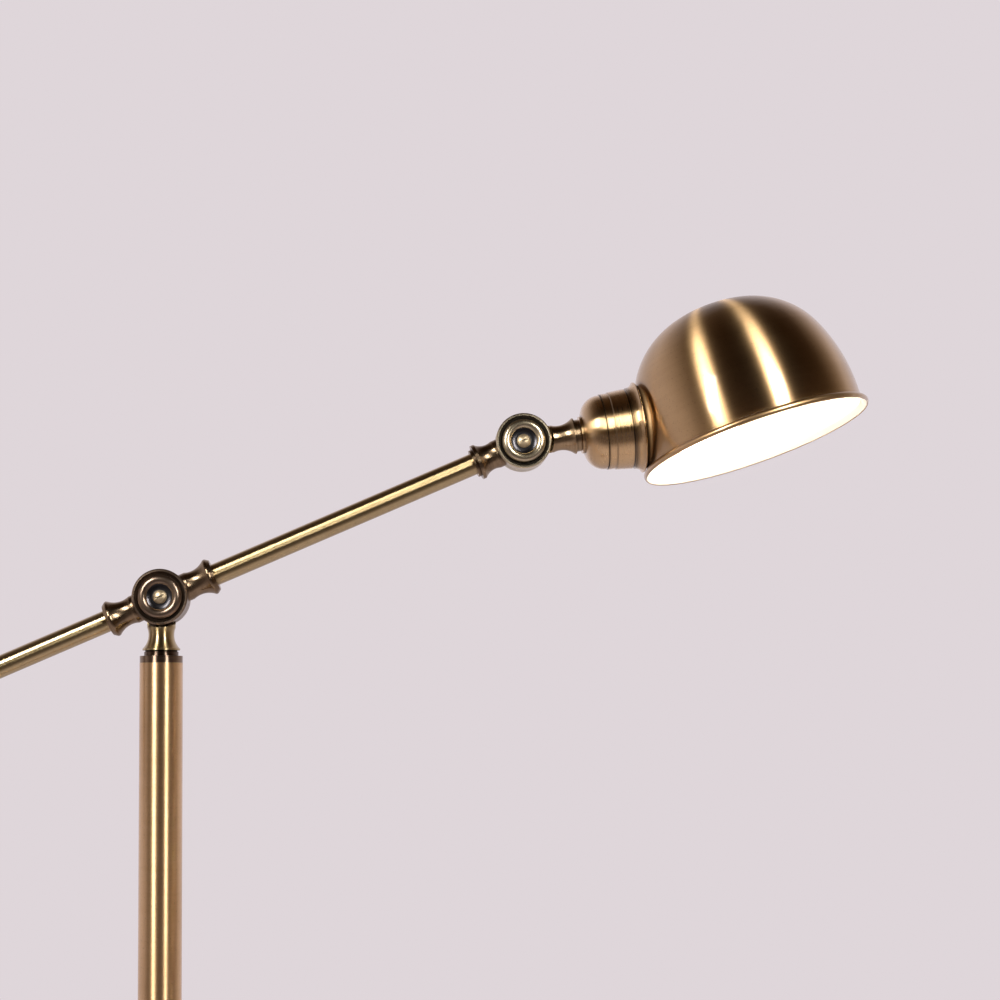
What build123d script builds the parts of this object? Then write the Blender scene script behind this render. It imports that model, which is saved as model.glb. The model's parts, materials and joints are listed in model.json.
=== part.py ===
from build123d import *
from math import acos, asin, cos, degrees, radians, sin
import os

# A counterbalanced pharmacy floor lamp in brass. Millimetres and degrees.
# The origin is on the floor under the middle of the pole, +Z is up, and the boom leans out towards +X.
# Each knuckle is split at Y = 0: its front half lies towards -Y and its rear half towards +Y.

# Pose of the arms
knuckle_height = 1150.0
boom_length = 232.7
boom_elevation = 23.0
head_elevation = 7.4
shade_roll = 6.0

# Fits
running_fit = 0.05
seat_fit = 0.03
face_gap = 0.05
swivel_gap = 0.25

# Base
base_radius = 127.0
base_edge_height = 18.0
base_edge_round = 5.0
base_crown_height = 30.0
base_crown_bulge = 2.0
base_flat_radius = 26.0
cover_wall = 1.2
cover_floor_gap = 0.8
weight_side_gap = 5.8
weight_edge_drop = 2.5
felt_thickness = 2.5
felt_inset = 6.0
nut_pocket_radius = 17.0
nut_pocket_depth = 10.0
cord_channel_width = 8.0
cord_channel_depth = 8.0
inlet_bore = 3.0
inlet_wall = 0.9
inlet_lip = 1.3
inlet_flange_thickness = 1.5
inlet_flange_round = 0.5
inlet_wall_gap = 0.15

# Threaded hollow rod used at the base and at both swivels
nipple_radius = 4.85
nipple_bore = 3.5
nipple_nut_flats = 14.0
nipple_nut_height = 4.0
nipple_washer_thickness = 1.2
nipple_spare = 1.2
base_washer_radius = 15.0

# Pole
pole_radius = 12.7
pole_wall = 1.2
collar_flare = 8.3
collar_bead = 3.0
collar_bead_step = 1.0
collar_sweep = 3.9
collar_top_wall = 1.9
collar_height = 13.0
foot_length = 20.0
foot_thread = 18.0
joint_band = 1.5
joint_spigot = 22.0
joint_wall = 3.5
cap_band = 4.0
cap_inset = 0.1
cap_spigot = 16.0
stop_pin_radius = 1.0
stop_pin_gap = 0.6
stop_pin_depth = 5.0
stop_tab_overlap = 1.2
stop_tab_width = 3.0

# Knuckle discs: drops are measured from the crest of the raised ring
knuckle_radius = 16.4
knuckle_gap = 0.5
front_thickness = 11.5
rear_thickness = 9.5
disc_clearance = 1.5
stub_overlap = 0.6
rim_drop = 1.9
rim_land = 0.8
rim_round = 0.6
dish_width = 3.5
dish_sag = 0.4
groove_drop = 4.2
groove_width = 0.5
ring_width = 4.7
ring_crest_inset = 2.2
ring_inner_drop = 1.3
recess_drop = 4.5
chamber_wall = 4.2
chamber_floor = 2.5
boss_wall = 3.5
wire_bore = 3.5
screw_radius = 2.5
screw_head_radius = 4.1
screw_head_height = 1.8
slot_width = 1.2
slot_depth = 1.0
slot_tilt = 25.0
cup_washer_thickness = 1.0
cup_washer_rim = 0.8
cup_washer_dish = 6.0
screw_nut_flats = 8.0
screw_nut_height = 3.5

# Boom, tail and counterweight
boom_radius = 6.5
boom_wall = 1.0
tail_length = 226.0
weight_radius = 20.0
weight_length = 70.0
weight_bore_depth = 50.0
weight_round = 3.0
weight_groove_inset = 8.0
weight_groove = 0.8
weight_neck_wall = 3.15
weight_neck_length = 6.0
set_screw_radius = 2.0
set_screw_inset = 16.0

# Stubs of the knuckles. Walls are measured from the tube or rod inside, and lengths from the last feature
stub_root_length = 1.3
stub_socket_depth = 9.0
swivel_socket_depth = 12.0
boom_root_wall = 1.9
boom_waist_run = 4.0
boom_waist_wall = 1.1
boom_crest_run = 9.5
boom_crest_wall = 4.95
boom_crest_round = 1.6
boom_collar_length = 2.9
boom_collar_wall = 2.85
stem_root_wall = 3.55
stem_waist_run = 5.9
stem_waist_wall = 2.8
stem_crest_run = 6.6
stem_crest_wall = 6.25
stem_lip = 0.9
stem_groove_width = 0.9
stem_groove_wall = 4.55
stem_neck_length = 2.2
stem_neck_wall = 5.25
arm_root_wall = 1.85
arm_waist_run = 3.0
arm_waist_wall = 1.25
arm_crest_run = 7.2
arm_crest_wall = 4.15
arm_band = 2.0
arm_collar_length = 2.0
arm_collar_wall = 1.85
head_root_wall = 3.2
head_waist_run = 4.0
head_waist_wall = 2.5
head_crest_run = 8.5
head_crest_wall = 5.8
head_lip = 0.7
head_collar_length = 2.3
head_collar_wall = 4.6

# Cup and flange of the lamp holder, measured from the cup's small end
spacer_length = 1.0
spacer_chamfer = 0.3
cup_wall = 1.5
cup_ring_rise = 0.4
cup_ring_step = 0.1
bell_radius = 11.4
bell_centre_at = 12.9
bell_centre_radius = 10.6
bead_run = 0.8
bead_length = 4.3
bead_rise = 0.55
bead_groove = 0.5
belly_rise = 0.45
belly_length = 10.0
mouth_flare = 0.8
spigot_length = 2.3
spigot_step = 1.6
spigot_wall = 1.5
flange_joint_gap = 0.1
flange_wall = 1.0
flange_groove_width = 1.6
flange_step = 0.3
flange_overhang = 3.1
flange_front = 2.6
flange_lip = 0.7
flange_lip_width = 0.8
flange_edge_round = 0.3
flange_back = 1.0
flange_sweep_run = 2.2
flange_sweep_rise = 0.9
seat_boss_length = 2.5
seat_boss_wall = 2.25

# Lamp holder
holder_setback = 13.8
holder_wall = 3.07
holder_floor_thickness = 7.0
holder_back_chamfer = 2.5
holder_thread_spare = 2.8
shoulder_thickness = 1.8
screw_shell_radius = 13.9
screw_shell_wall = 0.7
screw_shell_length = 18.0
contact_radius = 4.0
contact_thickness = 1.2
ring_nut_gap = 1.0
ring_nut_length = 4.0
ring_notch_count = 8
ring_notch_width = 2.4
ring_notch_depth = 1.2

# Shade
shade_along = 136.65
shade_drop = 19.25
shade_pitch = 9.3
shade_wall = 0.8
dome_height = 86.2
crown_radius = 116.8
crown_half_angle = 9.1
shoulder_radius = 50.4
shoulder_half_angle = 66.8
skirt_radius = 105.9
rim_bead_radius = 2.2
rim_bead_tilt = 57.0
seat_gap = 0.3
seat_rim_gap = 0.8
seat_rim_inset = 2.3

# Bulb
bulb_radius = 22.5
bulb_wall = 0.8
bulb_neck_gap = 0.5
bulb_neck_blend = 22.0
bulb_neck_cover = 3.2
bulb_neck_insert = 5.0
bulb_cap_clearance = 0.2
bulb_cap_length = 21.5
bulb_cap_wall = 0.5
bulb_cap_taper = 2.0
bulb_cap_back_radius = 7.0
bulb_tip_radius = 4.8
bulb_tip_height = 1.3

# Sizes worked out from the ones above
knuckle_bore = screw_radius + running_fit
dish_inner_radius = knuckle_radius - dish_width
ring_outer_radius = dish_inner_radius - groove_width
ring_crest_radius = ring_outer_radius - ring_crest_inset
ring_inner_radius = ring_outer_radius - ring_width
chamber_radius = knuckle_radius - chamber_wall
chamber_boss = screw_radius + boss_wall
stop_pin_ring = nipple_nut_flats / 2 + stop_pin_gap + stop_pin_radius
stub_flare_start = knuckle_radius + stub_root_length
tube_socket = boom_radius + seat_fit
nipple_socket = nipple_radius + seat_fit
nipple_running = nipple_radius + running_fit


def axis_plane(centre, elevation):
    """Sketch plane whose local X runs out from a centre at an elevation, with the radius as local Y."""
    direction = (cos(radians(elevation)), 0, sin(radians(elevation)))
    return Plane(origin=centre, x_dir=direction, z_dir=(0, -1, 0))


def along_axis(plane):
    """The line that a turned piece on this plane is revolved about."""
    return Axis(plane.origin, plane.x_dir)


def square_plane(plane, distance):
    """Plane square to the local X of an axis plane, at a distance along it."""
    origin = plane.from_local_coords((distance, 0, 0))
    return Plane(origin=origin, x_dir=plane.y_dir, z_dir=plane.x_dir)


def save(piece, name):
    piece.part.label = name
    export_step(piece.part, f"parts/{name}.step")


def ring(plane, start, end, outer, inner, name):
    """A plain turned ring, tube or washer."""
    with BuildPart() as piece:
        with BuildSketch(square_plane(plane, start)):
            Circle(outer)
            Circle(inner, mode=Mode.SUBTRACT)
        extrude(amount=end - start)
    save(piece, name)


def hex_nut(plane, start, height, flats, bore, name):
    with BuildPart() as piece:
        with BuildSketch(square_plane(plane, start)):
            RegularPolygon(flats / 2, 6, major_radius=False)
            Circle(bore, mode=Mode.SUBTRACT)
        extrude(amount=height)
    save(piece, name)


def stop_washer(plane, start, name):
    """Swivel washer whose tab meets a stop pin after most of a turn."""
    stop_tab_reach = stop_pin_ring + stop_tab_overlap
    with BuildPart() as piece:
        with BuildSketch(square_plane(plane, start)):
            Circle(nipple_nut_flats / 2)
            with Locations((stop_tab_reach / 2, 0)):
                Rectangle(stop_tab_reach, stop_tab_width)
            Circle(nipple_socket, mode=Mode.SUBTRACT)
        extrude(amount=nipple_washer_thickness)
    save(piece, name)


def stop_pin(plane, start, end, name):
    """Pin beside the swivel, on the far side from the washer's tab at rest."""
    with BuildPart() as piece:
        with BuildSketch(square_plane(plane, start)):
            with Locations((-stop_pin_ring, 0)):
                Circle(stop_pin_radius)
        extrude(amount=end - start)
    save(piece, name)


def stub_face(core, root_wall, waist_run, waist_wall, crest_run, crest_wall, collar, crest_round=0):
    """Half section of a turned stub: a waisted neck that flares to a crest, then the collar's steps.

    Walls are measured from the core's radius. The collar is a list of lengths and walls after the crest.
    """
    root = (stub_flare_start, core + root_wall)
    waist = (stub_flare_start + waist_run, core + waist_wall)
    crest = (waist[0] + crest_run, core + crest_wall)
    steps = [(crest[0] + length, core + wall) for length, wall in collar]
    with BuildSketch() as section:
        with BuildLine():
            ThreePointArc(root, waist, crest)
            Polyline(crest, *steps, (steps[-1][0], 0), (0, 0), (0, root[1]), root)
        make_face()
        if crest_round:
            fillet(vertices().group_by(Axis.Y)[-1], crest_round)
    return section.sketch


def boom_stub_face():
    collar = [(boom_collar_length, boom_collar_wall)]
    return stub_face(
        boom_radius, boom_root_wall, boom_waist_run, boom_waist_wall,
        boom_crest_run, boom_crest_wall, collar, boom_crest_round,
    )


def stem_face():
    neck_start = stem_lip + stem_groove_width
    collar = [
        (stem_lip, stem_crest_wall),
        (stem_lip, stem_groove_wall),
        (neck_start, stem_groove_wall),
        (neck_start, stem_neck_wall),
        (neck_start + stem_neck_length, stem_neck_wall),
    ]
    return stub_face(
        nipple_radius, stem_root_wall, stem_waist_run, stem_waist_wall,
        stem_crest_run, stem_crest_wall, collar,
    )


def arm_stub_face():
    collar = [
        (arm_band, arm_crest_wall),
        (arm_band, arm_collar_wall),
        (arm_band + arm_collar_length, arm_collar_wall),
    ]
    return stub_face(
        boom_radius, arm_root_wall, arm_waist_run, arm_waist_wall,
        arm_crest_run, arm_crest_wall, collar,
    )


def head_stub_face():
    collar = [
        (head_lip, head_crest_wall),
        (head_lip, head_collar_wall),
        (head_lip + head_collar_length, head_collar_wall),
    ]
    return stub_face(
        nipple_radius, head_root_wall, head_waist_run, head_waist_wall,
        head_crest_run, head_crest_wall, collar,
    )


def knuckle_face(thickness):
    """Half section of a knuckle's disc: dished rim, groove, raised ring and screw recess."""
    rim = thickness - rim_drop
    groove = thickness - groove_drop
    ring_inner = thickness - ring_inner_drop
    recess = thickness - recess_drop
    land = knuckle_radius - rim_round - rim_land
    dish_middle = ((land + dish_inner_radius) / 2, (rim + groove) / 2 - dish_sag)
    ring_foot = (ring_outer_radius, groove)
    ring_crest = (ring_crest_radius, thickness)
    with BuildSketch() as section:
        with BuildLine():
            Polyline(
                (0, recess),
                (0, knuckle_gap / 2),
                (knuckle_radius, knuckle_gap / 2),
                (knuckle_radius, rim - rim_round),
                (knuckle_radius - rim_round, rim),
                (land, rim),
            )
            ThreePointArc((land, rim), dish_middle, (dish_inner_radius, groove))
            Line((dish_inner_radius, groove), ring_foot)
            ThreePointArc(ring_foot, ring_crest, (ring_inner_radius, ring_inner))
            Polyline((ring_inner_radius, ring_inner), (ring_inner_radius, recess), (0, recess))
        make_face()
    return section.sketch


def half_knuckle(centre, side, thickness, stubs, name):
    """Half of a friction knuckle. Side is -1 for the front and 1 for the rear.

    Each stub is its axis plane, its section, its length, and the radius and depth of the socket in its end.
    """
    face_plane = Plane(origin=centre, x_dir=(1, 0, 0), z_dir=(0, 0, side))
    mid_plane = Plane(origin=centre, x_dir=(1, 0, 0), z_dir=(0, side, 0))
    with BuildPart() as half:
        for plane, section, length, socket, depth in stubs:
            with BuildSketch(plane):
                add(section)
            revolve(axis=along_axis(plane))
        # The stubs stop at the edge of their own disc, and leave room for the disc of the other half
        with BuildSketch(mid_plane):
            Circle(knuckle_radius - stub_overlap)
        extrude(amount=2 * front_thickness, both=True, mode=Mode.SUBTRACT)
        with BuildSketch(mid_plane.offset(knuckle_gap / 2)):
            Circle(knuckle_radius + disc_clearance)
        extrude(amount=-2 * front_thickness, mode=Mode.SUBTRACT)
        with BuildSketch(face_plane):
            add(knuckle_face(thickness))
        revolve(axis=Axis(centre, (0, 1, 0)))
        # Wire chamber round the screw's boss, and the screw's hole
        with BuildSketch(mid_plane):
            Circle(chamber_radius)
            Circle(chamber_boss, mode=Mode.SUBTRACT)
        extrude(amount=thickness - recess_drop - chamber_floor, mode=Mode.SUBTRACT)
        with BuildSketch(mid_plane):
            Circle(knuckle_bore)
        extrude(amount=thickness, mode=Mode.SUBTRACT)
        wire_start = (chamber_boss + chamber_radius) / 2
        for plane, section, length, socket, depth in stubs:
            with BuildSketch(square_plane(plane, wire_start)):
                Circle(wire_bore)
            extrude(amount=length - wire_start, mode=Mode.SUBTRACT)
            with BuildSketch(square_plane(plane, length - depth)):
                Circle(socket)
            extrude(amount=depth, mode=Mode.SUBTRACT)
    save(half, name)


def knuckle_fasteners(centre, name):
    """Slotted screw, dished washer, friction disc and nut that hold two knuckle halves together."""
    plane = Plane(origin=centre, x_dir=(0, -1, 0), z_dir=(1, 0, 0))
    recess = front_thickness - recess_drop
    head_seat = recess + cup_washer_thickness + face_gap
    head_top = head_seat + screw_head_height
    nut_seat = recess_drop - rear_thickness
    nut_start = nut_seat - screw_nut_height
    head_ball = (screw_head_radius ** 2 + screw_head_height ** 2) / (2 * screw_head_height)
    head_turn = degrees(asin(screw_head_radius / head_ball))
    with BuildPart() as screw:
        with BuildSketch(plane):
            with BuildLine():
                CenterArc((head_top - head_ball, 0), head_ball, 0, head_turn)
                Polyline(
                    (head_top, 0),
                    (nut_start, 0),
                    (nut_start, screw_radius),
                    (head_seat, screw_radius),
                    (head_seat, screw_head_radius),
                )
            make_face()
        revolve(axis=along_axis(plane))
        with BuildSketch(square_plane(plane, head_top - slot_depth)):
            Rectangle(2 * screw_head_radius, slot_width, rotation=90 + slot_tilt)
        extrude(amount=slot_depth, mode=Mode.SUBTRACT)
    save(screw, f"{name}_screw")

    washer_foot = (recess + cup_washer_thickness, screw_head_radius)
    washer_rim = (recess + cup_washer_thickness + cup_washer_rim, ring_inner_radius - running_fit)
    with BuildPart() as washer:
        with BuildSketch(plane):
            with BuildLine():
                Polyline(
                    washer_foot,
                    (washer_foot[0], knuckle_bore),
                    (recess, knuckle_bore),
                    (recess, washer_rim[1]),
                    washer_rim,
                )
                RadiusArc(washer_rim, washer_foot, -cup_washer_dish)
            make_face()
        revolve(axis=along_axis(plane))
    save(washer, f"{name}_cup_washer")

    ring(
        plane, -knuckle_gap / 2, knuckle_gap / 2 - face_gap,
        chamber_boss, knuckle_bore, f"{name}_friction_disc",
    )
    hex_nut(plane, nut_start, screw_nut_height, screw_nut_flats, screw_radius, f"{name}_nut")


os.makedirs("parts", exist_ok=True)

# Planes that the pieces are turned on
floor_axis = axis_plane((0, 0, 0), 90)
pole_knuckle = Vector(0, 0, knuckle_height)
stem_axis = axis_plane(pole_knuckle, -90)
boom_axis = axis_plane(pole_knuckle, boom_elevation)
tail_axis = axis_plane(pole_knuckle, boom_elevation + 180)
head_knuckle = boom_axis.from_local_coords((boom_length, 0, 0))
arm_axis = axis_plane(head_knuckle, boom_elevation + 180)
head_axis = axis_plane(head_knuckle, head_elevation)
holder_axis = Plane(head_axis.location * Location((0, 0, 0), (-shade_roll, 0, 0)))

# Lengths of the stubs, from the middle of their knuckle
boom_stub_length = stub_flare_start + boom_waist_run + boom_crest_run + boom_collar_length
stem_collar = stem_lip + stem_groove_width + stem_neck_length
stem_length = stub_flare_start + stem_waist_run + stem_crest_run + stem_collar
arm_stub_length = stub_flare_start + arm_waist_run + arm_crest_run + arm_band + arm_collar_length
head_stub_length = stub_flare_start + head_waist_run + head_crest_run + head_lip + head_collar_length

# Felt pad under the base
felt_radius = base_radius - felt_inset
with BuildPart() as base_felt:
    with BuildSketch(Plane.XY):
        Circle(felt_radius)
    extrude(amount=felt_thickness)
save(base_felt, "base_felt")

# Spun base cover, with a rounded edge and a low crown
cover_underside = base_crown_height - cover_wall
edge_centre = (base_edge_height - base_edge_round, base_radius - base_edge_round)
crown_edge = (base_edge_height, base_radius - base_edge_round)
crown_flat = (base_crown_height, base_flat_radius)
crown_middle = (
    (crown_edge[0] + crown_flat[0]) / 2 + base_crown_bulge,
    (crown_edge[1] + crown_flat[1]) / 2,
)
inlet_height = (cover_floor_gap + base_edge_height - base_edge_round) / 2
inlet_neck = inlet_bore + inlet_wall
inlet_flange = inlet_neck + inlet_lip
inlet_axis = axis_plane((0, 0, inlet_height), 180)
with BuildPart() as base_cover:
    with BuildSketch(floor_axis):
        with BuildLine():
            Line((cover_floor_gap, base_radius), (edge_centre[0], base_radius))
            CenterArc(edge_centre, base_edge_round, 0, 90)
            ThreePointArc(crown_edge, crown_middle, crown_flat)
            Polyline(
                crown_flat,
                (base_crown_height, nipple_socket),
                (cover_underside, nipple_socket),
                (cover_underside, base_flat_radius),
            )
            ThreePointArc(
                (crown_edge[0] - cover_wall, crown_edge[1]),
                (crown_middle[0] - cover_wall, crown_middle[1]),
                (cover_underside, base_flat_radius),
            )
            CenterArc(edge_centre, base_edge_round - cover_wall, 0, 90)
            Polyline(
                (edge_centre[0], base_radius - cover_wall),
                (cover_floor_gap, base_radius - cover_wall),
                (cover_floor_gap, base_radius),
            )
        make_face()
    revolve(axis=Axis.Z)
    with BuildSketch(square_plane(inlet_axis, base_radius - cover_wall - base_edge_round)):
        Circle(inlet_neck + seat_fit)
    extrude(amount=cover_wall + base_edge_round, mode=Mode.SUBTRACT)
save(base_cover, "base_cover")

# Cast weight, with a pocket for the nut and a channel for the lead
weight_base_radius = base_radius - cover_wall - weight_side_gap
pocket_roof = felt_thickness + nut_pocket_depth
with BuildPart() as base_weight:
    with BuildSketch(floor_axis):
        with BuildLine():
            Polyline(
                (felt_thickness, nut_pocket_radius),
                (felt_thickness, weight_base_radius),
                (base_edge_height - weight_edge_drop, weight_base_radius),
                (cover_underside, base_flat_radius),
                (cover_underside, nipple_socket),
                (pocket_roof, nipple_socket),
                (pocket_roof, nut_pocket_radius),
                close=True,
            )
        make_face()
    revolve(axis=Axis.Z)
    with BuildSketch(Plane.XY.offset(felt_thickness)):
        with Locations((-weight_base_radius / 2, 0)):
            Rectangle(weight_base_radius, cord_channel_width)
    extrude(amount=cord_channel_depth, mode=Mode.SUBTRACT)
save(base_weight, "base_weight")

# Bushing of the lead's inlet, snapped into the cover's edge
inlet_inside = base_radius - cover_wall - inlet_wall_gap
with BuildPart() as inlet_bushing:
    with BuildSketch(inlet_axis):
        with BuildLine():
            Polyline(
                (inlet_inside - inlet_flange_thickness, inlet_bore),
                (inlet_inside - inlet_flange_thickness, inlet_neck),
                (inlet_inside, inlet_flange),
                (inlet_inside, inlet_neck),
                (base_radius, inlet_neck),
                (base_radius, inlet_flange),
                (base_radius + inlet_flange_thickness, inlet_flange),
                (base_radius + inlet_flange_thickness, inlet_bore),
                close=True,
            )
        make_face()
    revolve(axis=along_axis(inlet_axis))
    fillet(edges().filter_by(GeomType.CIRCLE).sort_by(Axis.X)[:2], inlet_flange_round)
save(inlet_bushing, "inlet_bushing")

# Rod, washer and nut that tie the pole to the base
base_washer_start = pocket_roof - nipple_washer_thickness
base_nut_start = base_washer_start - nipple_nut_height
ring(
    floor_axis, base_nut_start - nipple_spare, base_crown_height + foot_thread,
    nipple_radius, nipple_bore, "base_nipple",
)
ring(floor_axis, base_washer_start, pocket_roof, base_washer_radius, nipple_socket, "base_washer")
hex_nut(floor_axis, base_nut_start, nipple_nut_height, nipple_nut_flats, nipple_radius, "base_nut")

# Pole in two tubes, with the threaded foot, the joint between the tubes and the collar at its foot
pole_inside = pole_radius - pole_wall
plug_radius = pole_inside - seat_fit
cap_top = knuckle_height - stem_length - swivel_gap
pole_top = cap_top - cap_band
joint_start = (base_crown_height + pole_top - joint_band) / 2
joint_end = joint_start + joint_band
joint_bore = plug_radius - joint_wall
ring(floor_axis, base_crown_height, joint_start, pole_radius, pole_inside, "pole_lower_tube")
ring(floor_axis, joint_end, pole_top, pole_radius, pole_inside, "pole_upper_tube")
ring(
    floor_axis, base_crown_height, base_crown_height + foot_length,
    plug_radius, nipple_socket, "pole_foot",
)
with BuildPart() as pole_joint:
    with BuildSketch(floor_axis):
        with BuildLine():
            Polyline(
                (joint_start - joint_spigot, joint_bore),
                (joint_start - joint_spigot, plug_radius),
                (joint_start, plug_radius),
                (joint_start, pole_radius),
                (joint_end, pole_radius),
                (joint_end, plug_radius),
                (joint_end + joint_spigot, plug_radius),
                (joint_end + joint_spigot, joint_bore),
                close=True,
            )
        make_face()
    revolve(axis=Axis.Z)
save(pole_joint, "pole_joint")

collar_bore = pole_radius + seat_fit
collar_top = base_crown_height + collar_height
collar_top_radius = pole_radius + collar_top_wall
collar_radius = pole_radius + collar_flare
collar_neck = (base_crown_height + collar_bead, collar_radius - collar_bead_step)
with BuildPart() as pole_collar:
    with BuildSketch(floor_axis):
        with BuildLine():
            Polyline(
                (collar_top, collar_top_radius),
                (collar_top, collar_bore),
                (base_crown_height, collar_bore),
                (base_crown_height, collar_radius),
                (base_crown_height + collar_bead, collar_radius),
                collar_neck,
            )
            ThreePointArc(
                collar_neck,
                (base_crown_height + collar_height / 2, pole_radius + collar_sweep),
                (collar_top, collar_top_radius),
            )
        make_face()
    revolve(axis=Axis.Z)
save(pole_collar, "pole_collar")

# Cap on the pole, which the stem turns on. Distances run down from the pole knuckle
cap_start = stem_length + swivel_gap
cap_radius = pole_radius - cap_inset
cap_band_end = cap_start + cap_band
cap_end = cap_band_end + cap_spigot
with BuildPart() as pole_cap:
    with BuildSketch(stem_axis):
        with BuildLine():
            Polyline(
                (cap_start, nipple_running),
                (cap_start, cap_radius),
                (cap_band_end, cap_radius),
                (cap_band_end, plug_radius),
                (cap_end, plug_radius),
                (cap_end, nipple_running),
                close=True,
            )
        make_face()
    revolve(axis=Axis.Z)
    with BuildSketch(square_plane(stem_axis, cap_end - stop_pin_depth)):
        with Locations((-stop_pin_ring, 0)):
            Circle(stop_pin_radius)
    extrude(amount=stop_pin_depth, mode=Mode.SUBTRACT)
save(pole_cap, "pole_cap")

# Swivel under the cap: rod, stop washer and lock nut turn with the stem, and the pin stays in the cap
swivel_washer_start = cap_end + face_gap
swivel_nut_start = swivel_washer_start + nipple_washer_thickness
swivel_nut_end = swivel_nut_start + nipple_nut_height
ring(
    stem_axis, stem_length - swivel_socket_depth, swivel_nut_end + nipple_spare,
    nipple_radius, nipple_bore, "swivel_nipple",
)
stop_washer(stem_axis, swivel_washer_start, "swivel_stop_washer")
hex_nut(stem_axis, swivel_nut_start, nipple_nut_height, nipple_nut_flats, nipple_radius, "swivel_nut")
stop_pin(stem_axis, cap_end - stop_pin_depth, swivel_nut_start - face_gap, "swivel_stop_pin")

# Pole knuckle: the stem carries the rear half, and the front half carries the boom and the tail
half_knuckle(
    pole_knuckle, 1, rear_thickness,
    [(stem_axis, stem_face(), stem_length, nipple_socket, swivel_socket_depth)],
    "stem_knuckle",
)
half_knuckle(
    pole_knuckle, -1, front_thickness,
    [
        (boom_axis, boom_stub_face(), boom_stub_length, tube_socket, stub_socket_depth),
        (tail_axis, boom_stub_face(), boom_stub_length, tube_socket, stub_socket_depth),
    ],
    "boom_knuckle",
)
knuckle_fasteners(pole_knuckle, "pole_knuckle")

# Boom and tail tubes
tube_inside = boom_radius - boom_wall
boom_start = boom_stub_length - stub_socket_depth
boom_end = boom_length - arm_stub_length + stub_socket_depth
ring(boom_axis, boom_start, boom_end, boom_radius, tube_inside, "boom_tube")
ring(tail_axis, boom_start, tail_length, boom_radius, tube_inside, "tail_tube")

# Counterweight on the end of the tail, held by a set screw from below
weight_start = tail_length - weight_bore_depth
weight_end = weight_start + weight_length
neck_start = weight_start - weight_neck_length
weight_neck_radius = boom_radius + weight_neck_wall
groove_places = (weight_start + weight_groove_inset, weight_end - weight_groove_inset)
set_screw_place = weight_start + set_screw_inset
set_screw_plane = Plane(
    origin=tail_axis.from_local_coords((set_screw_place, 0, 0)), x_dir=tail_axis.x_dir, z_dir=tail_axis.y_dir
)
with BuildPart() as counterweight:
    with BuildSketch(tail_axis):
        with BuildLine():
            Polyline(
                (neck_start, 0),
                (neck_start, weight_neck_radius),
                (weight_start, weight_neck_radius),
                (weight_start, weight_radius),
                (weight_end, weight_radius),
                (weight_end, 0),
                close=True,
            )
        make_face()
        fillet(vertices().group_by(Axis.Y)[-1], weight_round)
        with Locations(*[(place, weight_radius) for place in groove_places]):
            Circle(weight_groove, mode=Mode.SUBTRACT)
    revolve(axis=along_axis(tail_axis))
    with BuildSketch(square_plane(tail_axis, neck_start)):
        Circle(tube_socket)
    extrude(amount=tail_length - neck_start, mode=Mode.SUBTRACT)
    with BuildSketch(set_screw_plane):
        Circle(set_screw_radius + seat_fit)
    extrude(amount=weight_radius, mode=Mode.SUBTRACT)
save(counterweight, "counterweight")
with BuildPart() as set_screw:
    with BuildSketch(set_screw_plane.offset(tube_socket)):
        Circle(set_screw_radius)
    extrude(amount=weight_radius - tube_socket - weight_groove)
    with BuildSketch(set_screw_plane.offset(weight_radius - weight_groove - slot_depth)):
        Rectangle(2 * set_screw_radius, slot_width)
    extrude(amount=slot_depth, mode=Mode.SUBTRACT)
save(set_screw, "counterweight_screw")

# Head knuckle: the arm carries the front half, and the rear half carries the holder
half_knuckle(
    head_knuckle, -1, front_thickness,
    [(arm_axis, arm_stub_face(), arm_stub_length, tube_socket, stub_socket_depth)],
    "arm_knuckle",
)
half_knuckle(
    head_knuckle, 1, rear_thickness,
    [(head_axis, head_stub_face(), head_stub_length, nipple_socket, swivel_socket_depth)],
    "head_knuckle",
)
knuckle_fasteners(head_knuckle, "head_knuckle")

# Swivel between the head knuckle and the holder's cup
cup_start = head_stub_length + spacer_length + swivel_gap
cup_floor = bell_centre_at - bell_radius + cup_wall
cup_floor_end = cup_start + cup_floor
holder_washer_start = cup_floor_end + face_gap
holder_nut_start = holder_washer_start + nipple_washer_thickness
holder_nut_end = holder_nut_start + nipple_nut_height
with BuildPart() as holder_spacer:
    with BuildSketch(square_plane(head_axis, head_stub_length)):
        Circle(nipple_radius + head_collar_wall)
        Circle(nipple_socket, mode=Mode.SUBTRACT)
    extrude(amount=spacer_length)
    chamfer(edges().filter_by(GeomType.CIRCLE).group_by(SortBy.RADIUS)[-1], spacer_chamfer)
save(holder_spacer, "holder_spacer")
ring(
    head_axis, head_stub_length - swivel_socket_depth, holder_nut_end + nipple_spare,
    nipple_radius, nipple_bore, "holder_nipple",
)
stop_washer(head_axis, holder_washer_start, "holder_stop_washer")
hex_nut(head_axis, holder_nut_start, nipple_nut_height, nipple_nut_flats, nipple_radius, "holder_nut")
stop_pin(holder_axis, cup_floor_end - cup_floor / 2, holder_nut_start - face_gap, "holder_stop_pin")

# Bell-shaped cup of the holder, with a raised bead and a spigot for the flange
bell_centre = (cup_start + bell_centre_at, bell_centre_radius)
bell_top = bell_centre_radius + bell_radius
bell_turn = degrees(acos(cup_ring_rise / bell_radius))
bell_begin = bell_centre_at - (bell_radius ** 2 - cup_ring_rise ** 2) ** 0.5
cup_ring_radius = bell_centre_radius + cup_ring_rise
bead_start = bell_centre_at + bead_run
bead_end = bead_start + bead_length
bead_radius = bell_top + bead_rise
belly_radius = bead_radius + belly_rise
cup_length = bead_end + belly_length
mouth_radius = belly_radius + mouth_flare
spigot_end = cup_length + spigot_length
spigot_radius = mouth_radius - spigot_step


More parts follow.
